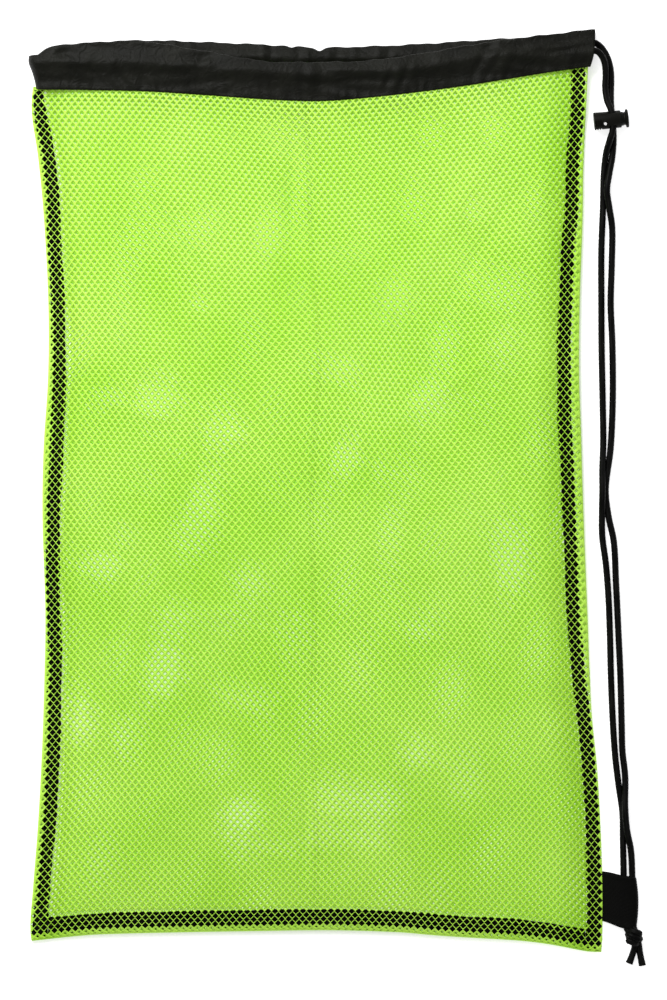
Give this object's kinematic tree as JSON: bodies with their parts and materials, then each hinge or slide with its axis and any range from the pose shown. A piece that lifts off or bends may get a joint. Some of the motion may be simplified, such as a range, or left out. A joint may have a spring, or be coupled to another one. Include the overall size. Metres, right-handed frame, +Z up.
{
  "type": "mesh drawstring swim bag",
  "caption": "Flat net sack with taped seams and a gathered nylon casing at its mouth, closed by a drawcord with a cord lock and carried by the cord through a side loop.",
  "frame": {"origin": "on the surface that the bag lies on, under the middle of the bag's box without its free cord", "axes": "+X to the bag's right as seen from above, +Y towards its mouth, +Z up off the surface"},
  "size_m": [0.4623, 0.7047, 0.0227],
  "materials": {
    "net": "open warp-knit polyester net, lime green, soft sheen",
    "tape": "flat woven polyester tape, black",
    "casing": "plain-woven nylon, black, slight sheen, gathered",
    "cord": "braided polyester cord, black",
    "lock": "moulded plastic, black, satin"
  },
  "bodies": {
    "bag": {"front_panel": "net", "back_panel": "net", "left_binding": "tape", "right_binding": "tape", "bottom_binding": "tape", "casing": "casing", "drawcord_in_casing": "cord", "drawcord_front_strand": "cord", "drawcord_back_strand": "cord", "drawcord_knot": "cord", "lock_barrel": "lock", "cord_tab": "tape"},
    "plunger": {"lock_plunger": "lock"}
  },
  "joints": [
    {"name": "plunger_press", "type": "slide", "parent": "bag", "child": "plunger", "axis": [-0.9949, -0.1011, 0], "range_m": [0, 0.003], "stiffness_N_per_m": 400, "springref_m": -0.004}
  ]
}
